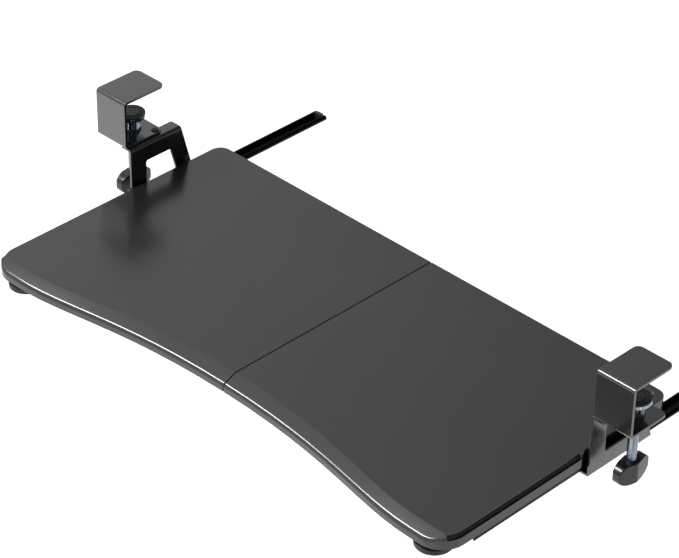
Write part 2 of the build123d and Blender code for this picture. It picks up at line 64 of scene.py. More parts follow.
# Colours, as linear values
BOARD_BLACK = (0.0080, 0.0080, 0.0080, 1)
BOARD_SMOKE = (0.0130, 0.0125, 0.0120, 1)
PAINT_BLACK = (0.0035, 0.0035, 0.0040, 1)
PAINT_HAZE = (0.0070, 0.0070, 0.0080, 1)
KNOB_BLACK = (0.0040, 0.0034, 0.0032, 1)
KNOB_HAZE = (0.0095, 0.0080, 0.0075, 1)
RUBBER_BLACK = (0.005, 0.005, 0.005, 1)
RUBBER_DUST = (0.013, 0.013, 0.014, 1)
ZINC = (0.42, 0.47, 0.53, 1)
# Darker bluish zinc, a painted reflection laid in stripes along the screw
ZINC_PAINTED_REFLECTION = (0.16, 0.19, 0.24, 1)
RAIL_BLACK = (0.006, 0.006, 0.007, 1)
RAIL_SHADE = (0.014, 0.014, 0.015, 1)
OXIDE_BLACK = (0.030, 0.030, 0.033, 1)
OXIDE_RUB = (0.25, 0.25, 0.27, 1)
BALL_STEEL = (0.62, 0.62, 0.62, 1)
BALL_SHADE = (0.40, 0.40, 0.42, 1)
FLOOR_WHITE = (0.80, 0.80, 0.80, 1)


class Finish:
    """A surface finish under construction: a shader and the nodes that feed it."""

    def __init__(self, name, metallic=0.0, coat=0.0, coat_roughness=0.1, ior=1.5):
        self.material = bpy.data.materials.new(name)
        self.material.use_nodes = True
        self.tree = self.material.node_tree
        self.shader = self.tree.nodes["Principled BSDF"]
        self.shader.inputs["Metallic"].default_value = metallic
        self.shader.inputs["Coat Weight"].default_value = coat
        self.shader.inputs["Coat Roughness"].default_value = coat_roughness
        self.shader.inputs["IOR"].default_value = ior
        self.place = self.add("ShaderNodeTexCoord").outputs["Object"]

    def add(self, kind, **settings):
        """Adds a node of that kind and gives it these settings."""
        node = self.tree.nodes.new(kind)
        for key, value in settings.items():
            setattr(node, key, value)
        return node

    def link(self, source, target):
        """Joins an output to an input."""
        self.tree.links.new(source, target)

    def noise(self, scale, detail=2.0, stretch=(1, 1, 1)):
        """A noise over the piece's own coordinates; stretch draws it out along an axis."""
        mapping = self.add("ShaderNodeMapping")
        mapping.inputs["Scale"].default_value = stretch
        self.link(self.place, mapping.inputs["Vector"])
        noise = self.add("ShaderNodeTexNoise")
        noise.inputs["Scale"].default_value = scale
        noise.inputs["Detail"].default_value = detail
        self.link(mapping.outputs["Vector"], noise.inputs["Vector"])
        return noise.outputs["Fac"]

    def spread(self, source, low, high, start=0.3, stop=0.7):
        """Turns a noise into a value between low and high."""
        remap = self.add("ShaderNodeMapRange")
        remap.inputs["From Min"].default_value = start
        remap.inputs["From Max"].default_value = stop
        remap.inputs["To Min"].default_value = low
        remap.inputs["To Max"].default_value = high
        self.link(source, remap.inputs["Value"])
        return remap.outputs["Result"]

    def blend(self, share, first, second):
        """Mixes two colours, either of which may be a socket, by a share."""
        mix = self.add("ShaderNodeMix", data_type="RGBA")
        self.link(share, mix.inputs["Factor"])
        for value, socket in ((first, mix.inputs["A"]), (second, mix.inputs["B"])):
            if isinstance(value, tuple):
                socket.default_value = value
            else:
                self.link(value, socket)
        return mix.outputs["Result"]

    def worn_edges(self):
        """A share that is high on outer edges, where handling rubs the finish."""
        geometry = self.add("ShaderNodeNewGeometry")
        return self.spread(geometry.outputs["Pointiness"], low=0, high=1, start=0.52, stop=0.62)

    def colour(self, source):
        """Feeds the base colour."""
        self.link(source, self.shader.inputs["Base Color"])

    def roughness(self, source):
        """Feeds the roughness."""
        self.link(source, self.shader.inputs["Roughness"])

    def bump(self, height, distance):
        """Raises the surface by a height field."""
        bump = self.add("ShaderNodeBump")
        bump.inputs["Distance"].default_value = distance
        self.link(height, bump.inputs["Height"])
        self.link(bump.outputs["Normal"], self.shader.inputs["Normal"])


def moulded_board():
    """Black satin moulding with a fine eroded grain and a faint cloudiness."""
    finish = Finish("moulded_board", ior=1.62)
    cloud = finish.noise(scale=9, detail=3)
    finish.colour(finish.blend(cloud, BOARD_BLACK, BOARD_SMOKE))
    finish.roughness(finish.spread(finish.noise(scale=14, detail=4), low=0.205, high=0.23))
    finish.bump(finish.noise(scale=1500), distance=0.004 * MM)
    return finish.material


def stove_paint(name, low, high):
    """Glossy black stoved paint with a light orange peel and rubbed edges."""
    finish = Finish(name, coat=0.6, coat_roughness=0.12, ior=1.6)
    skin = finish.blend(finish.noise(scale=30, detail=3), PAINT_BLACK, PAINT_HAZE)
    finish.colour(finish.blend(finish.worn_edges(), skin, RUBBER_DUST))
    finish.roughness(finish.spread(finish.noise(scale=60, detail=3), low, high))
    finish.bump(finish.noise(scale=260), distance=0.0015 * MM)
    return finish.material


def nylon_knob():
    """Glass-filled nylon: satin, slightly mottled, with a soft moulded skin."""
    finish = Finish("nylon_knob", ior=1.47)
    finish.colour(finish.blend(finish.noise(scale=180, detail=4), KNOB_BLACK, KNOB_HAZE))
    finish.roughness(finish.spread(finish.noise(scale=240, detail=3), low=0.18, high=0.28))
    finish.bump(finish.noise(scale=1100), distance=0.004 * MM)
    return finish.material


def soft_rubber():
    """Matt rubber with a dusty, pebbled skin."""
    finish = Finish("soft_rubber", ior=1.45)
    finish.colour(finish.blend(finish.noise(scale=90, detail=4), RUBBER_BLACK, RUBBER_DUST))
    finish.roughness(finish.spread(finish.noise(scale=150), low=0.38, high=0.55))
    finish.bump(finish.noise(scale=1600, detail=3), distance=0.05 * MM)
    return finish.material


def bright_zinc():
    """Clear zinc plating with painted dark bluish reflection stripes along the screw, and grinding
    lines in its bump.
    """
    finish = Finish("bright_zinc", metallic=1.0)
    streaks = finish.noise(scale=1100, detail=3, stretch=(1, 1, 0.01))
    # Share of painted dark bluish reflection, in stripes along the screw
    cloud = finish.spread(streaks, low=0, high=1, start=0.35, stop=0.62)
    finish.colour(finish.blend(cloud, ZINC, ZINC_PAINTED_REFLECTION))
    finish.roughness(finish.spread(finish.noise(scale=300, detail=4), low=0.10, high=0.16))
    finish.bump(streaks, distance=0.001 * MM)
    return finish.material


def blackened_rail():
    """Black zinc-plated rail steel with a rolling grain along the rail."""
    finish = Finish("blackened_rail", metallic=1.0)
    streaks = finish.noise(scale=700, detail=4, stretch=(1, 0.02, 1))
    finish.colour(finish.blend(streaks, RAIL_BLACK, RAIL_SHADE))
    finish.roughness(finish.spread(streaks, low=0.24, high=0.42))
    finish.bump(streaks, distance=0.01 * MM)
    return finish.material


def black_oxide():
    """Blackened fasteners with rubbed patches that show the metal."""
    finish = Finish("black_oxide", metallic=1.0)
    patches = finish.noise(scale=260, detail=4)
    rubbed = finish.spread(patches, low=0, high=1, start=0.58, stop=0.75)
    finish.colour(finish.blend(rubbed, OXIDE_BLACK, OXIDE_RUB))
    finish.roughness(finish.spread(finish.noise(scale=400, detail=3), low=0.30, high=0.50))
    finish.bump(finish.noise(scale=1300), distance=0.01 * MM)
    return finish.material


def polished_ball():
    """Bearing steel with faint lapping marks."""
    finish = Finish("polished_ball", metallic=1.0)
    finish.colour(finish.blend(finish.noise(scale=500), BALL_STEEL, BALL_SHADE))
    finish.roughness(finish.spread(finish.noise(scale=800, detail=3), low=0.05, high=0.12))
    finish.bump(finish.noise(scale=1800), distance=0.002 * MM)
    return finish.material


board_finish = moulded_board()
clamp_finish = stove_paint("clamp_paint", low=0.13, high=0.19)
bracket_finish = stove_paint("bracket_paint", low=0.22, high=0.30)
knob_finish = nylon_knob()
rubber_finish = soft_rubber()
zinc_finish = bright_zinc()
rail_finish = blackened_rail()
oxide_finish = black_oxide()
ball_finish = polished_ball()

# Finish of each kind of piece, whichever side it is on
finishes = {
    "board": board_finish,
    "corner_foot": rubber_finish,
    "clamp_strap": clamp_finish,
    "side_bracket": bracket_finish,
    "wing_knob": knob_finish,
    "desk_pad": rubber_finish,
    "pad_rubber": rubber_finish,
    "slide_stop": rubber_finish,
    "clamp_nut": zinc_finish,
    "clamp_screw": zinc_finish,
    "pressure_pad": zinc_finish,
    "bracket_rivets": oxide_finish,
    "slide_rivets": oxide_finish,
    "slide_screws": oxide_finish,
    "joining_screws": oxide_finish,
    "foot_screw": oxide_finish,
    "slide_outer": rail_finish,
    "slide_inner": rail_finish,
    "ball_cage": rail_finish,
    "front_joining_plate": rail_finish,
    "rear_joining_plate": rail_finish,
    "balls": ball_finish,
}
for name, node in nodes.items():
    kind = name.removeprefix("left_").removeprefix("right_")
    node.data.materials.clear()
    node.data.materials.append(finishes[kind])


def clear_selection():
    """Leaves nothing selected, so that the next piece is worked on alone."""
    bpy.ops.object.select_all(action="DESELECT")


def take(piece):
    """Makes one piece the only selected and the active one."""
    clear_selection()
    piece.select_set(True)
    bpy.context.view_layer.objects.active = piece


def settle(name):
    """Names the newest primitive and puts its place and size into its mesh."""
    piece = bpy.context.object
    piece.name = name
    bpy.ops.object.transform_apply(location=True, rotation=True, scale=True)
    return piece


def pick(piece, kind, test):
    """Selects the faces, edges or corners that pass a test of their middle and direction."""
    bpy.ops.object.mode_set(mode="EDIT")
    bpy.ops.mesh.select_mode(type=kind)
    bpy.ops.mesh.select_all(action="DESELECT")
    bpy.ops.object.mode_set(mode="OBJECT")
    mesh = piece.data
    if kind == "FACE":
        for face in mesh.polygons:
            face.select = test(face.center, face.normal)
    elif kind == "EDGE":
        for edge in mesh.edges:
            start, stop = (mesh.vertices[corner].co for corner in edge.vertices)
            edge.select = test((start + stop) / 2, (stop - start).normalized())
    else:
        for corner in mesh.vertices:
            corner.select = test(corner.co, None)
    bpy.ops.object.mode_set(mode="EDIT")


def done(piece):
    """Leaves edit mode with the piece's faces turned outwards."""
    bpy.ops.mesh.select_all(action="SELECT")
    bpy.ops.mesh.remove_doubles(threshold=MERGE)
    bpy.ops.mesh.normals_make_consistent(inside=False)
    bpy.ops.object.mode_set(mode="OBJECT")


def extrude(travel):
    """Extrudes what is selected by a travel along X, Y and Z."""
    bpy.ops.mesh.extrude_region_move(TRANSFORM_OT_translate={"value": travel})


def bevel(width, steps):
    """Rounds the selected edges."""
    bpy.ops.mesh.bevel(offset=width, segments=steps, affect="EDGES")


def drag(piece, travel, test):
    """Moves the corners that pass a test of their place."""
    pick(piece, "VERT", lambda corner, _: test(corner))
    bpy.ops.transform.translate(value=travel)


def work(piece, kind, **settings):
    """Adds a modifier with these settings and applies it."""
    take(piece)
    modifier = piece.modifiers.new(kind.title(), kind)
    for key, value in settings.items():
        setattr(modifier, key, value)
    bpy.ops.object.modifier_apply(modifier=modifier.name)


def soften(piece, width, steps=EDGE_STEPS, angle=BEVEL_ANGLE):
    """Rounds every edge that turns by more than an angle."""
    work(
        piece,
        "BEVEL",
        width=width,
        segments=steps,
        limit_method="ANGLE",
        angle_limit=math.radians(angle),
    )


def left_twin(piece):
    """Copies a right-hand piece, with its own mesh, across the middle plane."""
    take(piece)
    bpy.ops.object.duplicate(linked=False)
    twin = bpy.context.object
    twin.name = piece.name.replace("right_", "left_")
    twin.scale.x = -1
    bpy.ops.object.transform_apply(location=True, rotation=True, scale=True)
    bpy.ops.object.mode_set(mode="EDIT")
    done(twin)
    return twin


def dress(piece, finish, slot, body, *replaced, smooth=SHARP_ANGLE):
    """Gives a finished piece its surface and its body, and hides the nodes that it stands for."""
    piece.data.materials.clear()
    piece.data.materials.append(finish)
    take(piece)
    bpy.ops.object.shade_smooth_by_angle(angle=math.radians(smooth))
    work(piece, "WEIGHTED_NORMAL", keep_sharp=True)
    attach(piece, body)
    if replaced:
        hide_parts(*replaced)


def dress_pair(piece, kind, finish, slot, body, smooth=SHARP_ANGLE):
    """Dresses a right-hand piece and its left-hand twin in place of their nodes."""
    for side, half in (("left", left_twin(piece)), ("right", piece)):
        dress(half, finish, slot, body.format(side=side), f"{side}_{kind}", smooth=smooth)


def drum(name, centre, radius, bottom, top, sides=TURNED_SIDES):
    """A cylinder that stands on one level and reaches another."""
    clear_selection()
    bpy.ops.mesh.primitive_cylinder_add(
        vertices=sides,
        radius=radius,
        depth=top - bottom,
        location=(centre[0], centre[1], (bottom + top) / 2),
    )
    return settle(name)


def join(name, pieces):
    """Makes one piece of several."""
    clear_selection()
    for piece in pieces:
        piece.select_set(True)
    bpy.context.view_layer.objects.active = pieces[0]
    if len(pieces) > 1:
        bpy.ops.object.join()
    pieces[0].name = name
    return pieces[0]


# Clamp strap
STRAP_SHEET = 3 * MM
STRAP_BEND = 4 * MM
STRAP_CORNER = 6.5 * MM
JAW_DEPTH = 50 * MM
SHEET_EDGE = 0.35 * MM


def clamp_strap():
    """Top plate, front wall and jaw, folded from one strip."""
    low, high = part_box("right_clamp_strap")
    clear_selection()
    bpy.ops.mesh.primitive_plane_add(
        size=1, location=((low.x + high.x) / 2, (low.y + high.y) / 2, high.z)
    )
    bpy.context.object.scale = (high.x - low.x, high.y - low.y, 1)
    strap = settle("right_folded_strap")
    pick(strap, "EDGE", lambda middle, _: middle.y < low.y + NEAR)
    extrude((0, 0, low.z - high.z))
    extrude((0, JAW_DEPTH, 0))
    pick(strap, "EDGE", lambda middle, along: middle.y < low.y + NEAR and abs(along.x) > SQUARE)
    bevel(STRAP_BEND, FOLD_STEPS)
    done(strap)
    work(strap, "SOLIDIFY", thickness=STRAP_SHEET, offset=-1, use_even_offset=True)
    pick(
        strap,
        "EDGE",
        lambda middle, along: middle.y > low.y + JAW_DEPTH - NEAR and abs(along.z) > SQUARE,
    )
    bevel(STRAP_CORNER, FOLD_STEPS)
    done(strap)
    soften(strap, SHEET_EDGE)
    return strap


# Side bracket
BRACKET_SHEET = 2.5 * MM
BRACKET_BEND = 1.0 * MM
BRACKET_ARM = 20 * MM
BRACKET_SILL = 18.5 * MM
BRACKET_RAKE = 18.1 * MM
BRACKET_JAW_FLANGE = 15 * MM
FLANGE_ROUND = 2.0 * MM
WINDOW_ROUND = 2.5 * MM


def side_bracket():
    """Raked web with a window, folded outwards under the jaw and inwards under the slide."""
    low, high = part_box("right_side_bracket")
    half_sheet = BRACKET_SHEET / 2
    web_x = high.x - BRACKET_JAW_FLANGE + half_sheet
    foot, head = low.z + half_sheet, high.z - half_sheet
    sill, lintel = low.z + BRACKET_SILL, high.z - BRACKET_ARM
    front_post, rear_post = low.y + BRACKET_ARM, high.y - BRACKET_ARM
    third_z, third_y = (head - foot) / 3, (high.y - low.y) / 3
    clear_selection()
    bpy.ops.mesh.primitive_grid_add(
        x_subdivisions=3,
        y_subdivisions=3,
        size=1,
        location=(web_x, (low.y + high.y) / 2, (foot + head) / 2),
        rotation=(0, math.radians(90), 0),
    )
    bpy.context.object.scale = (head - foot, high.y - low.y, 1)
    bracket = settle("right_folded_bracket")
    for line, target in ((foot + third_z, sill), (head - third_z, lintel)):
        drag(bracket, (0, 0, target - line), lambda corner: abs(corner.z - line) < NEAR)
    for line, target in ((low.y + third_y, front_post), (high.y - third_y, rear_post)):
        drag(bracket, (0, target - line, 0), lambda corner: abs(corner.y - line) < NEAR)
    for level in (foot, sill, lintel, head):
        lean = BRACKET_RAKE * (level - low.z) / (high.z - low.z)
        drag(
            bracket,
            (0, -lean, 0),
            lambda corner: abs(corner.z - level) < NEAR and corner.y > rear_post - NEAR,
        )
    pick(
        bracket,
        "FACE",
        lambda middle, _: sill < middle.z < lintel
        and front_post < middle.y < rear_post - BRACKET_RAKE / 2,
    )
    bpy.ops.mesh.delete(type="FACE")
    pick(bracket, "EDGE", lambda middle, _: middle.z > head - NEAR)
    extrude((high.x - web_x, 0, 0))
    pick(bracket, "EDGE", lambda middle, _: middle.z < foot + NEAR)
    extrude((low.x - web_x, 0, 0))
    pick(
        bracket,
        "EDGE",
        lambda middle, along: abs(middle.x - web_x) < NEAR
        and abs(along.y) > SQUARE
        and not foot + NEAR < middle.z < head - NEAR,
    )
    bevel(BRACKET_BEND + half_sheet, RIDGE_STEPS)
    done(bracket)
    work(bracket, "SOLIDIFY", thickness=BRACKET_SHEET, offset=0, use_even_offset=True)
    pick(
        bracket,
        "EDGE",
        lambda middle, along: abs(along.z) > SQUARE
        and not low.x + NEAR < middle.x < high.x - NEAR,
    )
    bevel(FLANGE_ROUND, ROUND_STEPS)
    pick(
        bracket,
        "EDGE",
        lambda middle, along: abs(along.x) > SQUARE
        and sill - NEAR < middle.z < lintel + NEAR
        and front_post - NEAR < middle.y < rear_post - NEAR,
    )
    bevel(WINDOW_ROUND, ROUND_STEPS)
    done(bracket)
    soften(bracket, SHEET_EDGE)
    return bracket


# Jaw rivets
RIVET_HEAD = 1.2 * MM
RIVET_DOME = 1.0 * MM


def jaw_rivets():
    """Two rivets, each with a domed head above the jaw and one below the bracket."""
    low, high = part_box("right_bracket_rivets")
    radius = (high.x - low.x) / 2
    heads = []
    for y in (low.y + radius, high.y - radius):
        for outer, inner in ((high.z, high.z - RIVET_HEAD), (low.z, low.z + RIVET_HEAD)):
            head = drum(
                "rivet_head",
                (low.x + radius, y),
                radius,
                min(outer, inner),
                max(outer, inner),
                sides=SMALL_SIDES,
            )
            pick(head, "EDGE", lambda middle, _: abs(middle.z - outer) < NEAR)
            bevel(RIVET_DOME, ROUND_STEPS)
            done(head)
            heads.append(head)
    return join("right_jaw_rivets", heads)


# Clamp screw
SCREW_PITCH = 1.5 * MM
THREAD_DEPTH = 0.12 * MM
THREAD_FLAT = 0.45 * MM
THREAD_MERGE = 0.005 * MM
TIP_RADIUS = 3.0 * MM
TIP_LENGTH = 2.5 * MM
TIP_ROUND = 0.5 * MM
SCREW_SIDES = 36


def clamp_screw():
    """Threaded rod with a plain turned tip."""
    low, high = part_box("right_clamp_screw")
    radius = (high.x - low.x) / 2
    axis = ((low.x + high.x) / 2, (low.y + high.y) / 2)
    shoulder = high.z - TIP_LENGTH
    core = drum("screw_core", axis, radius - THREAD_DEPTH, low.z, shoulder, sides=SCREW_SIDES)
    tip = drum("screw_tip", axis, TIP_RADIUS, shoulder, high.z, sides=SCREW_SIDES)
    pick(tip, "EDGE", lambda middle, _: middle.z > high.z - NEAR)
    bevel(TIP_ROUND, EDGE_STEPS)
    done(tip)
    turns = int((shoulder - low.z) / SCREW_PITCH) - 1
    rest = (SCREW_PITCH - 2 * THREAD_FLAT) / 2
    profile = (
        (radius - THREAD_DEPTH, -SCREW_PITCH / 2),
        (radius - THREAD_DEPTH, -SCREW_PITCH / 2 + THREAD_FLAT),
        (radius, -SCREW_PITCH / 2 + THREAD_FLAT + rest),
        (radius, SCREW_PITCH / 2 - rest),
        (radius - THREAD_DEPTH, SCREW_PITCH / 2),
    )
    clear_selection()
    bpy.ops.mesh.primitive_circle_add(
        vertices=len(profile),
        radius=SCREW_PITCH / 2,
        location=(*axis, low.z + SCREW_PITCH),
    )
    thread = bpy.context.object
    thread.name = "screw_thread"
    for corner, (out, level) in zip(thread.data.vertices, profile):
        corner.co = (out, 0, level)
    pick(
        thread,
        "EDGE",
        lambda middle, along: abs(along.z) > SQUARE
        and middle.x < radius - NEAR
        and abs(middle.z) < NEAR,
    )
    bpy.ops.mesh.delete(type="EDGE")
    bpy.ops.object.mode_set(mode="OBJECT")
    work(
        thread,
        "SCREW",
        axis="Z",
        screw_offset=SCREW_PITCH,
        iterations=turns,
        steps=SCREW_SIDES,
        render_steps=SCREW_SIDES,
        use_merge_vertices=True,
        merge_threshold=THREAD_MERGE,
    )
    bpy.ops.object.transform_apply(location=True, rotation=True, scale=True)
    bpy.ops.object.mode_set(mode="EDIT")
    done(thread)
    return join("right_threaded_rod", [core, tip, thread])


# Wing knob
KNOB_TIP = 8.4 * MM
KNOB_RIM = 1.3 * MM
KNOB_RIDGE = 1.2 * MM
KNOB_BEVEL_ANGLE = 50
KNOB_SHARP_ANGLE = 50

# Half spans between the sections of the ears while they are parked out of the way
KNOB_PARKING = 10

# Top and bottom of the ear, as shares of the height, by the share of the way to its tip
KNOB_LEVELS_SHARE = {
    0.0: (0.97, 0.0),
    0.26: (0.98, 0.0),
    0.42: (1.0, 0.02),
    0.56: (0.99, 0.05),
    0.70: (0.95, 0.10),
    0.84: (0.88, 0.17),
    0.95: (0.78, 0.28),
    1.0: (0.68, 0.40),
}


def wing_knob():
    """Two ears that taper from the hub to rounded tips, with soft moulded rims."""
    low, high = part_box("right_wing_knob")
    middle_x, middle_y = (low.x + high.x) / 2, (low.y + high.y) / 2
    middle_z = (low.z + high.z) / 2
    half_span = (high.y - low.y) / 2
    height = high.z - low.z
    hub = high.x - low.x
    columns = sorted({side * reach for reach in KNOB_LEVELS_SHARE for side in (-1, 1)})
    steps = len(columns) - 1
    clear_selection()
    bpy.ops.mesh.primitive_grid_add(
        x_subdivisions=1,
        y_subdivisions=steps,
        size=1,
        location=(middle_x, middle_y, middle_z),
        rotation=(0, math.radians(90), 0),
    )
    bpy.context.object.scale = (height, 2 * half_span, 1)
    knob = settle("right_winged_knob")
    starts = [low.y + number * 2 * half_span / steps for number in range(steps + 1)]
    parked = KNOB_PARKING * half_span
    for number, start in enumerate(starts):
        drag(knob, (0, parked * (number + 1), 0), lambda corner: abs(corner.y - start) < NEAR)
    for number, (start, reach) in enumerate(zip(starts, columns)):
        top, bottom = KNOB_LEVELS_SHARE[abs(reach)]
        here = start + parked * (number + 1)
        drag(
            knob,
            (0, 0, (top - 1) * height),
            lambda corner: abs(corner.y - here) < NEAR and corner.z > middle_z,
        )
        drag(
            knob,
            (0, 0, bottom * height),
            lambda corner: abs(corner.y - here) < NEAR and corner.z < low.z + NEAR,
        )
        drag(
            knob,
            (0, middle_y + reach * half_span - here, 0),
            lambda corner: abs(corner.y - here) < NEAR,
        )
    bpy.ops.mesh.select_all(action="SELECT")
    extrude((hub, 0, 0))
    for reach in columns:
        half = (hub + (KNOB_TIP - hub) * abs(reach)) / 2
        place_y = middle_y + reach * half_span
        drag(
            knob,
            (half - hub, 0, 0),
            lambda corner: abs(corner.y - place_y) < NEAR and corner.x > middle_x + hub / 2,
        )
        drag(
            knob,
            (-half, 0, 0),
            lambda corner: abs(corner.y - place_y) < NEAR and corner.x < middle_x + NEAR,
        )
    pick(
        knob,
        "EDGE",
        lambda middle, along: abs(along.z) > SQUARE and abs(middle.y - middle_y) < NEAR,
    )
    bevel(KNOB_RIDGE, RIDGE_STEPS)
    done(knob)
    soften(knob, KNOB_RIM, SMALL_STEPS, KNOB_BEVEL_ANGLE)
    return knob


# Pressure pad
PAD_EDGE = SHEET_EDGE / 2
CUP_ROUND = 1.2 * MM
CUP_RIM = 4.0 * MM
CUP_DISH = 0.8 * MM
RIB_WIDTH = 1.6 * MM
RIB_DEPTH = 0.5 * MM


def pressure_cup():
    """Turned steel cup, dished underneath."""
    low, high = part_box("right_pressure_pad")
    radius = (high.x - low.x) / 2
    axis = Vector(((low.x + high.x) / 2, (low.y + high.y) / 2))
    cup = drum("right_pressure_cup", axis, radius, low.z, high.z)
    pick(cup, "FACE", lambda _, normal: normal.z < -SQUARE)
    bpy.ops.mesh.inset(thickness=CUP_RIM)
    extrude((0, 0, CUP_DISH))
    done(cup)
    pick(
        cup,
        "EDGE",
        lambda middle, _: middle.z < low.z + NEAR
        and (middle.xy - axis).length > radius - CUP_ROUND,
    )
    bevel(CUP_ROUND, ROUND_STEPS)
    done(cup)
    soften(cup, PAD_EDGE)
    return cup


def ribbed_rubber():
    """Rubber face with two rings pressed into it."""
    low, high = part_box("right_pad_rubber")
    radius = (high.x - low.x) / 2
    axis = ((low.x + high.x) / 2, (low.y + high.y) / 2)
    rubber = drum("right_ribbed_rubber", axis, radius, low.z, high.z)
    pick(rubber, "FACE", lambda _, normal: normal.z > SQUARE)
    for depth in (-RIB_DEPTH, RIB_DEPTH, -RIB_DEPTH, RIB_DEPTH):
        bpy.ops.mesh.inset(thickness=RIB_WIDTH)
        extrude((0, 0, depth))
    done(rubber)
    soften(rubber, PAD_EDGE)
    return rubber


# Corner foot
FOOT_NECK_RADIUS = 12 * MM
FOOT_NECK = 6.5 * MM
FOOT_ROUND = 1.4 * MM
FOOT_RECESS_RADIUS = 5 * MM
FOOT_RECESS = 3 * MM
FOOT_RING = 2.5 * MM


def corner_foot():
    """Rubber disc on a narrower neck, with a ring groove and a sunk hole below."""
    low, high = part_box("right_corner_foot")
    radius = (high.x - low.x) / 2
    shoulder = high.z - FOOT_NECK
    axis = ((low.x + high.x) / 2, (low.y + high.y) / 2)
    foot = drum("right_turned_foot", axis, radius, low.z, shoulder)
    pick(foot, "EDGE", lambda _, along: abs(along.z) < SQUARE)
    bevel(FOOT_ROUND, ROUND_STEPS)
    pick(foot, "FACE", lambda _, normal: normal.z > SQUARE)
    bpy.ops.mesh.inset(thickness=radius - FOOT_ROUND - FOOT_NECK_RADIUS)
    extrude((0, 0, FOOT_NECK))
    pick(foot, "FACE", lambda _, normal: normal.z < -SQUARE)
    bpy.ops.mesh.inset(thickness=FOOT_RING)
    extrude((0, 0, RIB_DEPTH))
    bpy.ops.mesh.inset(thickness=RIB_WIDTH)
    extrude((0, 0, -RIB_DEPTH))
    bpy.ops.mesh.inset(
        thickness=radius - FOOT_ROUND - FOOT_RING - RIB_WIDTH - FOOT_RECESS_RADIUS
    )
    extrude((0, 0, FOOT_RECESS))
    done(foot)
    return foot


# Wood screws
HEAD_HEIGHT = 1.5 * MM
HEAD_DOME = 0.9 * MM
SHANK_RADIUS = 1.6 * MM
CROSS_WIDTH = 0.7 * MM
CROSS_REACH = 1.6 * MM
CROSS_DEPTH = 0.9 * MM
JOINING_GAP = 16 * MM


def cross_screw(head_radius, bottom, top):
    """Wood screw on the middle axis, its domed head downwards with a cross recess."""
    screw = drum("wood_screw", (0, 0), head_radius, bottom, bottom + HEAD_HEIGHT, sides=SMALL_SIDES)
    pick(screw, "EDGE", lambda middle, _: abs(middle.z - bottom) < NEAR)
    bevel(HEAD_DOME, SMALL_STEPS)
    pick(screw, "FACE", lambda _, normal: normal.z > SQUARE)
    bpy.ops.mesh.inset(thickness=head_radius - SHANK_RADIUS)
    extrude((0, 0, top - bottom - HEAD_HEIGHT))
    done(screw)
    clear_selection()
    bpy.ops.mesh.primitive_cube_add(size=1, location=(0, 0, bottom))
    bpy.context.object.scale = (CROSS_WIDTH, CROSS_WIDTH, 2 * CROSS_DEPTH)
    driver = settle("driver_cross")
    arm = CROSS_REACH - CROSS_WIDTH / 2
    for side in (Vector((1, 0, 0)), Vector((-1, 0, 0)), Vector((0, 1, 0)), Vector((0, -1, 0))):
        pick(
            driver,
            "FACE",
            lambda middle, normal: normal.dot(side) > SQUARE
            and abs(middle.dot(side) - CROSS_WIDTH / 2) < NEAR
            and (middle - side * middle.dot(side)).xy.length < NEAR,
        )
        extrude(side * arm)
    done(driver)
    work(screw, "BOOLEAN", object=driver, operation="DIFFERENCE", solver="EXACT")
    bpy.data.objects.remove(driver)
    return screw


def set_screws(node_name, name, rows, columns):
    """Copies a screw to each crossing of its rows and columns; sizes come from the node."""
    low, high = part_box(node_name)
    screw = cross_screw(high.x - columns[-1], low.z, high.z)
    screws = []
    for x in columns:
        for y in rows:
            take(screw)
            bpy.ops.object.duplicate(linked=False)
            copy = bpy.context.object
            copy.location = (x, y, 0)
            bpy.ops.object.transform_apply(location=True, rotation=True, scale=True)
            screws.append(copy)
    bpy.data.objects.remove(screw)
    return join(name, screws)


def slide_screws():
    """Three screws that hold the inner rail to the board."""
    low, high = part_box("right_slide_screws")
    radius = (high.x - low.x) / 2
    rows = (low.y + radius, (low.y + high.y) / 2, high.y - radius)
    return set_screws("right_slide_screws", "right_runner_screws", rows, (low.x + radius,))


def foot_screw():
    """Screw sunk in the foot."""
    low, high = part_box("right_foot_screw")
    rows, columns = ((low.y + high.y) / 2,), ((low.x + high.x) / 2,)
    return set_screws("right_foot_screw", "right_sunk_screw", rows, columns)


def joining_screws():
    """Eight screws through the two joining plates."""
    low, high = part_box("joining_screws")
    foot_low, foot_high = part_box("right_foot_screw")
    radius = (foot_high.x - foot_low.x) / 2
    near, far = low.y + radius, high.y - radius
    rows = (near, near + JOINING_GAP, far - JOINING_GAP, far)
    columns = (low.x + radius, high.x - radius)
    return set_screws("joining_screws", "plate_screws", rows, columns)


# Board half: wave, palm slope, corners and seam
BOARD_CORNER = 26.5 * MM
REAR_CORNER = 12 * MM
WAVE_DEPTH = 27.4 * MM
WAVE_SHOULDER = 14.5 * MM
WAVE_PULL_SHARES = (0.537, 0.753)
WAVE_STEPS = 12
PALM_MIDDLE = 15.0 * MM
PALM_END = 12.3 * MM
PALM_DROP = 6.0 * MM
PALM_ROUND = 3.0 * MM
SEAM_ROUND = 1.1 * MM
BOARD_BEVEL_ANGLE = 28
BOARD_SHARP_ANGLE = 30

# Columns between the wave and the rim, how far inside the rim they end, and how near a
# dragged corner is looked for
BEND_COLUMNS = 2
BEND_END = 13 * MM
DRAG_REACH = 0.02 * MM

# Rim, small step, chamfer, groove and ledge: outwards from the rim and down from the top,
# and how far the outside drops where the groove starts at the front corner
RIM_INSET = 3.5 * MM
RIM_PROFILE = (
    (0, 0),
    (0.1 * MM, 0.8 * MM),
    (2.1 * MM, 3.5 * MM),
    (2.2 * MM, 8.0 * MM),
    (3.1 * MM, 8.0 * MM),
    (3.2 * MM, 4.6 * MM),
    (RIM_INSET, 4.6 * MM),
)
SHOULDER_DROP = 2.4 * MM

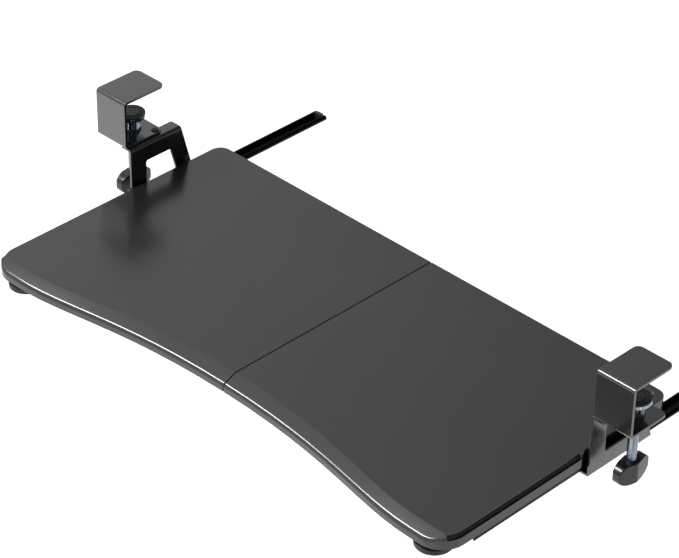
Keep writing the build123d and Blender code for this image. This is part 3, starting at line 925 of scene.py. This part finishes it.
# Rows of the lattice: degrees round the front corner, the first and last row that the
# groove runs through, and places along Y, with the two between which the groove closes
NOTCH_TURNS = (-37, -36, -24, -12, 0)
GROOVE_ROWS = (2, 8)
RIM_END = -6.0 * MM
GROOVE_END_ROWS = (-8.0 * MM, -7.8 * MM)
FRONT_RIB_LINES = (-110.4 * MM, -54.8 * MM)
REAR_RIB_LINES = (0.8 * MM, 56.4 * MM, 103 * MM)
CROSS_ROWS = (*FRONT_RIB_LINES, *GROOVE_END_ROWS, RIM_END, *REAR_RIB_LINES)

# Ribs under the board: how many columns of the lattice lie between two of them, where
# they cross, and the rows that stay solid over the joining plates
BOARD_SKIN = 3.2 * MM
RIB_HALF = 1.2 * MM
RIB_STRIDE = 2
RIB_ROWS = (-160 * MM, *FRONT_RIB_LINES, *REAR_RIB_LINES)
PLATE_ROWS = (0, 1, 4)


def wave(turn, palm, front):
    """Point of the front edge, or with palm 1 of the line where the palm slope ends."""
    low, high = front
    near, far = (1 - turn) ** 3 + 3 * (1 - turn) ** 2 * turn, 3 * (1 - turn) * turn**2 + turn**3
    end = high.x - BOARD_CORNER - WAVE_SHOULDER
    first, second = (end * share for share in WAVE_PULL_SHARES)
    across = (
        low.x * (1 - turn) ** 3
        + 3 * first * (1 - turn) ** 2 * turn
        + 3 * second * (1 - turn) * turn**2
        + end * turn**3
    )
    middle = low.y + WAVE_DEPTH + PALM_MIDDLE * palm
    return across, near * middle + far * (low.y + PALM_END * palm)


def board_half():
    """Moulded half board: waved palm slope, stepped rim, groove and ribs below."""
    low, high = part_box("right_board")
    corner_x, corner_y = high.x - BOARD_CORNER, low.y + BOARD_CORNER
    rim_radius = BOARD_CORNER - RIM_INSET
    palm_end = low.y + PALM_END
    steps = [step / WAVE_STEPS for step in range(WAVE_STEPS + 1)]
    fronts = [wave(turn, 0, (low, high)) for turn in steps] + [(corner_x, low.y)]
    palms = [wave(turn, 1, (low, high)) for turn in steps] + [(corner_x, palm_end)]
    bends = [(number + 1) / (BEND_COLUMNS + 1) for number in range(BEND_COLUMNS)]
    columns = len(fronts) + len(bends) + len(RIM_PROFILE)
    rows = 1 + len(NOTCH_TURNS) + len(CROSS_ROWS) + 1

    def on_corner(radius, degrees):
        """Point round the front corner."""
        turn = math.radians(degrees)
        return corner_x + radius * math.cos(turn), corner_y + radius * math.sin(turn)

    def rim_point(row, outwards):
        """Point of the rim, or of a line outside it, in a row behind the notch."""
        if row <= len(NOTCH_TURNS):
            return on_corner(rim_radius + outwards, NOTCH_TURNS[row - 1])
        y = (*CROSS_ROWS, high.y)[row - len(NOTCH_TURNS) - 1]
        return corner_x + rim_radius + (outwards if y < RIM_END + NEAR else 0), y

    def place(column, row):
        """Plan position of a corner of the lattice."""
        outer = column - len(fronts) + 1
        if row == 0:
            if outer <= 0:
                return fronts[column]
            return on_corner(
                BOARD_CORNER,
                -90 + (90 + NOTCH_TURNS[0]) * outer / (columns - len(fronts)),
            )
        if outer > BEND_COLUMNS:
            return rim_point(row, RIM_PROFILE[outer - BEND_COLUMNS - 1][0])
        base_x, base_y = palms[min(column, len(palms) - 1)]
        if row <= len(NOTCH_TURNS):
            share = (NOTCH_TURNS[row - 1] - NOTCH_TURNS[0]) / -NOTCH_TURNS[0]
            base_y += share * (corner_y - palm_end)
            rim_x, rim_y = rim_point(row, 0)
            mix = bends[outer - 1] if outer > 0 else 0
            return base_x + (rim_x - base_x) * mix, base_y + (rim_y - base_y) * mix
        _, y = rim_point(row, 0)
        bend_x = high.x - RIM_INSET - BEND_END
        mix = outer / BEND_COLUMNS if outer > 0 else 0
        return base_x + (bend_x - base_x) * mix, y

    def drop(column, row):
        """Depth of a corner of the lattice below the top."""
        _, y = place(column, row)
        if row == 0 and column < len(fronts):
            return PALM_DROP
        outer = column - len(fronts) - BEND_COLUMNS
        if row <= 1:
            slope = max(0, PALM_DROP * (palm_end - y) / PALM_END) if column >= len(fronts) else 0
            outwards = RIM_PROFILE[outer][0] / RIM_INSET if row == 1 and outer > 0 else 0
            return slope + SHOULDER_DROP * outwards**2
        if outer >= 0 and GROOVE_ROWS[0] <= row <= GROOVE_ROWS[1]:
            return RIM_PROFILE[outer][1]
        return 0

    span, depth = high.x - low.x, high.y - low.y
    parked = high.z + depth
    clear_selection()
    bpy.ops.mesh.primitive_grid_add(
        x_subdivisions=columns - 1,
        y_subdivisions=rows - 1,
        size=1,
        location=((low.x + high.x) / 2, (low.y + high.y) / 2, parked),
    )
    bpy.context.object.scale = (span, depth, 1)
    board = settle("right_moulded_board")
    lattice = [(column, row) for column in range(columns) for row in range(rows)]
    for column, row in lattice:
        start = Vector(
            (low.x + span * column / (columns - 1), low.y + depth * row / (rows - 1), parked)
        )
        travel = Vector((*place(column, row), high.z)) - start
        drag(board, travel, lambda corner: (corner - start).length < DRAG_REACH)
    done(board)
    bpy.ops.object.mode_set(mode="EDIT")
    bpy.ops.mesh.select_all(action="SELECT")
    extrude((0, 0, low.z - high.z))
    done(board)
    for column, row in lattice:
        depth_here = drop(column, row)
        if depth_here > 0:
            start = Vector((*place(column, row), high.z))
            travel = (0, 0, -depth_here)
            drag(board, travel, lambda corner: (corner - start).length < DRAG_REACH)
    lines = [palms[number][0] for number in range(0, WAVE_STEPS + 1, RIB_STRIDE)]
    for number, (left, right) in enumerate(zip(lines, lines[1:])):
        for row, (near, far) in enumerate(zip(RIB_ROWS, RIB_ROWS[1:])):
            foot_cell = number == len(lines) - 2 and row == 0
            if foot_cell or (number == 0 and row in PLATE_ROWS):
                continue
            pick(
                board,
                "FACE",
                lambda middle, _: abs(middle.z - low.z) < NEAR
                and left < middle.x < right
                and near < middle.y < far
                and middle.y > wave(number / len(lines), 1, (low, high))[1],
            )
            bpy.ops.mesh.inset(thickness=RIB_HALF)
            extrude((0, 0, high.z - BOARD_SKIN - low.z))
    pick(
        board,
        "EDGE",
        lambda middle, along: abs(along.z) > SQUARE
        and abs(middle.y - high.y) < NEAR
        and middle.x > corner_x + BOARD_CORNER - RIM_INSET - NEAR,
    )
    bevel(REAR_CORNER, FOLD_STEPS)
    edge_line = [Vector((*place(column, 0), high.z - drop(column, 0))) for column in range(columns)]
    middles = [(first + second) / 2 for first, second in zip(edge_line, edge_line[1:])]
    pick(
        board,
        "EDGE",
        lambda middle, _: any((middle - spot).length < DRAG_REACH for spot in middles),
    )
    bevel(PALM_ROUND, FOLD_STEPS)
    done(board)
    seam_front = low.y + WAVE_DEPTH
    pick(
        board,
        "EDGE",
        lambda middle, along: abs(middle.x - low.x) < NEAR
        and middle.z > low.z + NEAR
        and middle.y < high.y - NEAR
        and (abs(along.z) < SQUARE or middle.y < seam_front + SEAM_ROUND / 2),
    )
    bevel(SEAM_ROUND, SMALL_STEPS)
    done(board)
    soften(board, SHEET_EDGE, angle=BOARD_BEVEL_ANGLE)
    return board


dress_pair(board_half(), "board", board_finish, "board", body="tray", smooth=BOARD_SHARP_ANGLE)
dress_pair(clamp_strap(), "clamp_strap", clamp_finish, "clamp", body="clamps")
dress_pair(side_bracket(), "side_bracket", bracket_finish, "bracket", body="clamps")
dress_pair(jaw_rivets(), "bracket_rivets", oxide_finish, "steel", body="clamps")
dress_pair(clamp_screw(), "clamp_screw", zinc_finish, "steel", body="{side}_screw")
dress_pair(
    wing_knob(),
    "wing_knob",
    knob_finish,
    "knob",
    body="{side}_screw",
    smooth=KNOB_SHARP_ANGLE,
)
dress_pair(pressure_cup(), "pressure_pad", zinc_finish, "steel", body="{side}_pad")
dress_pair(ribbed_rubber(), "pad_rubber", rubber_finish, "pad", body="{side}_pad")
dress_pair(corner_foot(), "corner_foot", rubber_finish, "foot", body="tray")
dress_pair(slide_screws(), "slide_screws", oxide_finish, "screw", body="tray")
dress_pair(foot_screw(), "foot_screw", oxide_finish, "screw", body="tray")
dress(joining_screws(), oxide_finish, "screw", "tray", "joining_screws")

# Floor, well below the object, white to the camera and still open to its shadow
FLOOR_DEPTH = -0.74
FLOOR_SIZE = 24
FLOOR_ROUGHNESS = 0.9
FLOOR_GLOW = 0.45
clear_selection()
bpy.ops.mesh.primitive_plane_add(size=FLOOR_SIZE, location=(0, 0, FLOOR_DEPTH))
floor = bpy.context.object
floor.name = "studio_floor"
floor_finish = bpy.data.materials.new("studio_floor")
floor_finish.use_nodes = True
floor_tree = floor_finish.node_tree
floor_shader = floor_tree.nodes["Principled BSDF"]
floor_shader.inputs["Base Color"].default_value = FLOOR_WHITE
floor_shader.inputs["Roughness"].default_value = FLOOR_ROUGHNESS
floor_shader.inputs["Emission Color"].default_value = (1, 1, 1, 1)
paths = floor_tree.nodes.new("ShaderNodeLightPath").outputs


def floor_value(operation, first, second):
    """Value that an operation makes of a socket and of another socket or a number."""
    node = floor_tree.nodes.new("ShaderNodeMath")
    node.operation = operation
    floor_tree.links.new(first, node.inputs[0])
    if isinstance(second, float):
        node.inputs[1].default_value = second
    else:
        floor_tree.links.new(second, node.inputs[1])
    return node.outputs[0]


seen = floor_value("MAXIMUM", paths["Is Camera Ray"], paths["Is Glossy Ray"])
seen_or_through = floor_value("MAXIMUM", seen, paths["Is Transmission Ray"])
floor_glow = floor_value("MULTIPLY", seen_or_through, FLOOR_GLOW)
floor_tree.links.new(floor_glow, floor_shader.inputs["Emission Strength"])
floor.data.materials.append(floor_finish)

# Studio light from all round: the level at the back and at the front, the way to the
# front, and the shares of that way between which the level rises
BACK_LEVEL = 0.15
FRONT_LEVEL = 0.96
FRONT_WAY = (-0.7, -0.7, 0)
RISE_START = -0.35
RISE_STOP = 0.20
world = bpy.data.worlds.new("studio")
bpy.context.scene.world = world
world.use_nodes = True
world_tree = world.node_tree
background = world_tree.nodes["Background"]
background.inputs["Color"].default_value = (1, 1, 1, 1)
sky_place = world_tree.nodes.new("ShaderNodeTexCoord")
sky_share = world_tree.nodes.new("ShaderNodeVectorMath")
sky_share.operation = "DOT_PRODUCT"
sky_share.inputs[1].default_value = FRONT_WAY
sky_level = world_tree.nodes.new("ShaderNodeMapRange")
sky_level.interpolation_type = "SMOOTHSTEP"
sky_level.inputs["From Min"].default_value = RISE_START
sky_level.inputs["From Max"].default_value = RISE_STOP
sky_level.inputs["To Min"].default_value = BACK_LEVEL
sky_level.inputs["To Max"].default_value = FRONT_LEVEL
world_tree.links.new(sky_place.outputs["Generated"], sky_share.inputs[0])
world_tree.links.new(sky_share.outputs["Value"], sky_level.inputs["Value"])
world_tree.links.new(sky_level.outputs["Result"], background.inputs["Strength"])

# Strip softbox above the front left, its long side level along X
SOFTBOX_PLACE = Vector((-1.43, -1.32, 2.0))
SOFTBOX_TARGET = Vector((0.05, -0.1, -0.05))
SOFTBOX_LENGTH = 1.1
SOFTBOX_WIDTH = 0.65
SOFTBOX_POWER = 84
softbox_lamp = bpy.data.lights.new("strip_softbox", "AREA")
softbox_lamp.shape = "RECTANGLE"
softbox_lamp.size = SOFTBOX_LENGTH
softbox_lamp.size_y = SOFTBOX_WIDTH
softbox_lamp.energy = SOFTBOX_POWER
softbox = bpy.data.objects.new("strip_softbox", softbox_lamp)
bpy.context.collection.objects.link(softbox)
away = (SOFTBOX_PLACE - SOFTBOX_TARGET).normalized()
upward = away.cross(Vector((1, 0, 0))).normalized()
turn = Matrix((upward.cross(away), upward, away)).transposed().to_4x4()
softbox.matrix_world = Matrix.Translation(SOFTBOX_PLACE) @ turn

# Camera at the photograph's place and angle
CAMERA_PLACE = (1.5372, -1.5623, 1.4499)
CAMERA_TURN = (55.531, -0.625, 45.127)
CAMERA_LENS = 151.7
CAMERA_REACH = 50
camera_lens = bpy.data.cameras.new("camera")
camera_lens.lens = CAMERA_LENS
camera_lens.clip_end = CAMERA_REACH
camera = bpy.data.objects.new("camera", camera_lens)
bpy.context.collection.objects.link(camera)
camera.location = CAMERA_PLACE
camera.rotation_euler = [math.radians(angle) for angle in CAMERA_TURN]
bpy.context.scene.camera = camera
bpy.context.scene.view_settings.view_transform = "Standard"
